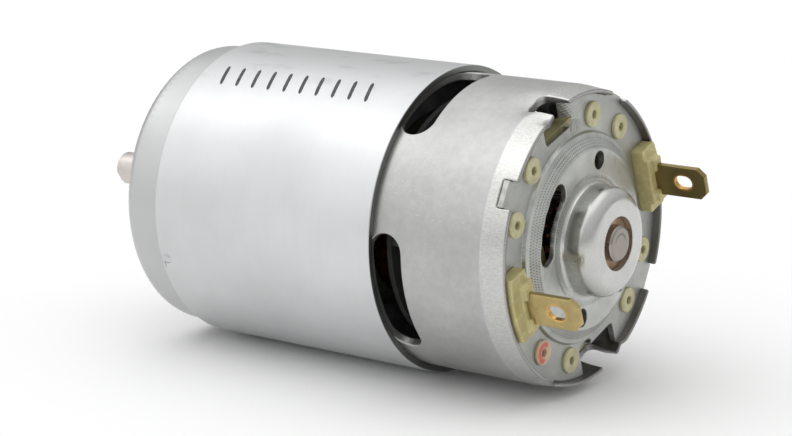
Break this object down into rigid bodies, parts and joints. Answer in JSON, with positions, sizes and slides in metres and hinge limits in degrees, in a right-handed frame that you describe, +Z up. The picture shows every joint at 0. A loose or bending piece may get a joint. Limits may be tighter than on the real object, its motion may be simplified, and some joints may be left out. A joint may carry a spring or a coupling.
{
  "type": "brushed electric motor",
  "caption": "Cylindrical brushed direct-current motor with a vented steel can, a flux ring, a staked end plate with two brass tabs, and a round output shaft with a flat.",
  "frame": {"origin": "centre of the front mounting face, on the shaft's axis", "axes": "+X along the output shaft out of the front, +Z up as the motor lies on its flux ring, with the terminal line 20 degrees above level"},
  "size_m": [0.0947, 0.044, 0.044],
  "materials": {
    "can_steel": "galvanised sheet, satin",
    "ring_zinc": "zinc plated, satin",
    "plate_steel": "zinc plated, knurled",
    "nylon": "natural nylon, aged ivory",
    "bronze": "sintered bronze",
    "spring_steel": "bright spring steel",
    "brass": "satin brass",
    "ferrite": "matt ferrite",
    "carbon": "graphite",
    "copper_braid": "bare copper braid",
    "shaft_steel": "ground steel",
    "lamination_steel": "stacked sheet",
    "fibre": "green fibre",
    "enamelled_copper": "enamelled wire",
    "phenolic": "dark phenolic",
    "copper": "turned copper",
    "fan_plastic": "black glass-filled nylon",
    "washer_plastic": "white nylon"
  },
  "bodies": {
    "housing": {"can": "can_steel", "flux_ring": "ring_zinc", "rear_plate": "plate_steel", "brush_holder": "nylon", "front_bush": "bronze", "rear_bush": "bronze", "front_bush_retainer": "spring_steel", "rear_bush_retainer": "spring_steel", "magnet_clip_left": "spring_steel", "magnet_clip_right": "spring_steel", "brush_spring_left": "spring_steel", "brush_spring_right": "spring_steel", "terminal_left": "brass", "terminal_right": "brass", "brush_box_left": "brass", "brush_box_right": "brass", "magnet_top": "ferrite", "magnet_bottom": "ferrite", "pigtail_left": "copper_braid", "pigtail_right": "copper_braid"},
    "rotor": {"shaft": "shaft_steel", "armature_core": "lamination_steel", "core_insulator_front": "fibre", "core_insulator_rear": "fibre", "commutator_base": "phenolic", "fan": "fan_plastic", "rear_thrust_washer": "washer_plastic", "front_thrust_washer": "washer_plastic", "front_spacer": "phenolic", "coil_1": "enamelled_copper", "coil_2": "enamelled_copper", "coil_3": "enamelled_copper", "coil_4": "enamelled_copper", "coil_5": "enamelled_copper", "commutator_bar_1": "copper", "commutator_bar_2": "copper", "commutator_bar_3": "copper", "commutator_bar_4": "copper", "commutator_bar_5": "copper"},
    "brush_left": {"carbon_brush_left": "carbon"},
    "brush_right": {"carbon_brush_right": "carbon"}
  },
  "joints": [
    {"name": "rotor_spin", "type": "hinge", "parent": "housing", "child": "rotor", "pos_m": [0, 0, 0], "axis": [1, 0, 0], "continuous": true},
    {"name": "brush_left_slide", "type": "slide", "parent": "housing", "child": "brush_left", "axis": [0, 0.9397, -0.342], "range_m": [0, 0.0012], "stiffness_N_per_m": 250, "springref_m": -0.002, "deforming": ["brush_spring_left", "pigtail_left"]},
    {"name": "brush_right_slide", "type": "slide", "parent": "housing", "child": "brush_right", "axis": [0, -0.9397, 0.342], "range_m": [0, 0.0012], "stiffness_N_per_m": 250, "springref_m": -0.002, "deforming": ["brush_spring_right", "pigtail_right"]}
  ]
}
